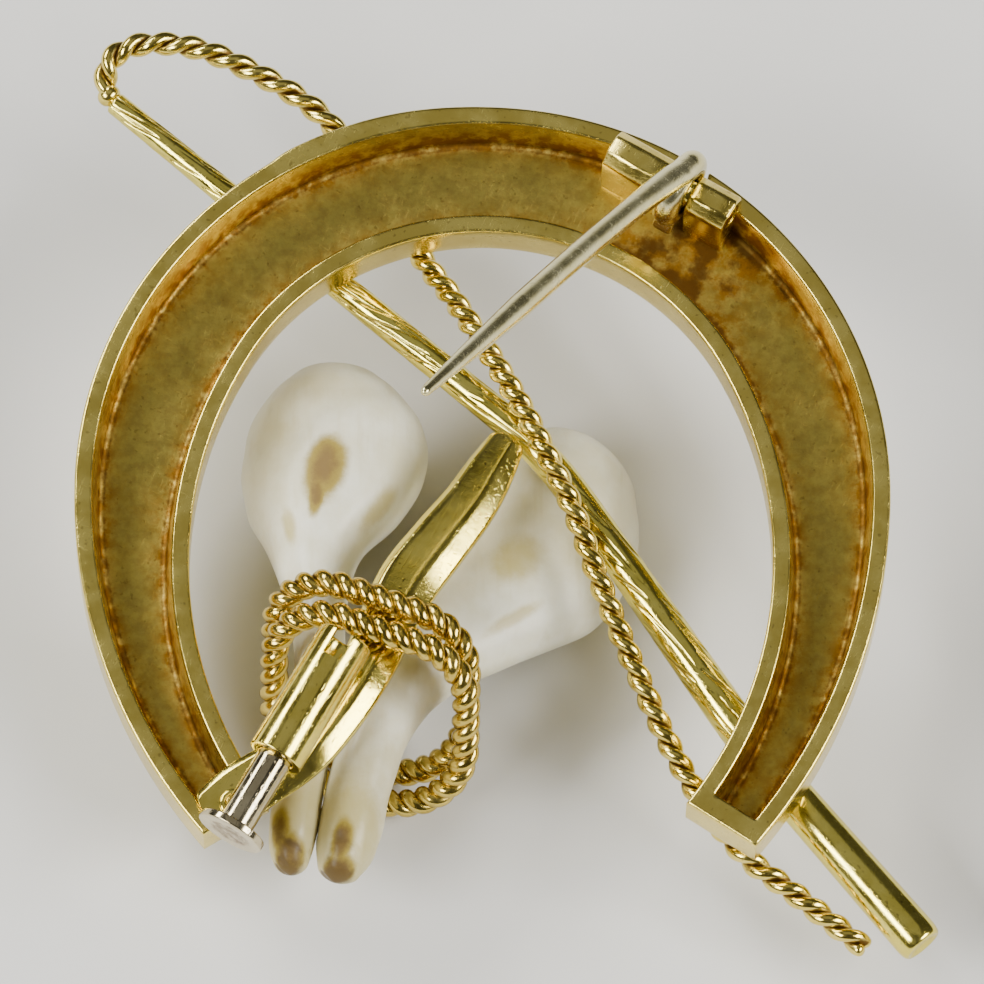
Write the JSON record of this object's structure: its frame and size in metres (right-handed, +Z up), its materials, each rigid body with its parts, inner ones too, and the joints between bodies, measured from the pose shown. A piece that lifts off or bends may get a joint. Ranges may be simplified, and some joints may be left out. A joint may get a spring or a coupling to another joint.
{
  "type": "hunting brooch",
  "caption": "Gold hunting brooch: hollow horseshoe crossed by a riding whip and its twisted lash, deer teeth bound by rope turns, hinged pin and sliding tube catch.",
  "frame": {"origin": "under the middle of the bounding box, on the surface it rests on", "axes": "+Z up from the table, +Y towards the horseshoe's toe, back of the brooch up"},
  "size_m": [0.0376, 0.0406, 0.0264],
  "materials": {
    "yellow_gold": "polished gold, worn and tarnished in its corners",
    "rope_gold": "twisted gold wire, dark in its grooves",
    "pale_gold": "pale polished gold",
    "grey_gold": "greyish polished gold",
    "tooth": "polished tooth, stained brown in places"
  },
  "bodies": {
    "brooch": {"horseshoe": "yellow_gold", "whip": "yellow_gold", "lash": "rope_gold", "catch_bridge": "yellow_gold", "binding_turn_upper": "rope_gold", "binding_turn_lower": "rope_gold", "tooth_left": "tooth", "tooth_right": "tooth", "hinge_rivet": "yellow_gold"},
    "pin": {"pin_stem": "pale_gold"},
    "catch": {"catch_plunger": "grey_gold"}
  },
  "joints": [
    {"name": "pin_hinge", "type": "hinge", "parent": "brooch", "child": "pin", "pos_m": [0.00677, 0.012, 0.01234], "axis": [-0.8676, 0.4969, 0.0158], "range_deg": [-39.5, 40]},
    {"name": "catch_slide", "type": "slide", "parent": "brooch", "child": "catch", "axis": [-0.4735, -0.861, -0.1859], "range_m": [-0.0035, 0]}
  ]
}
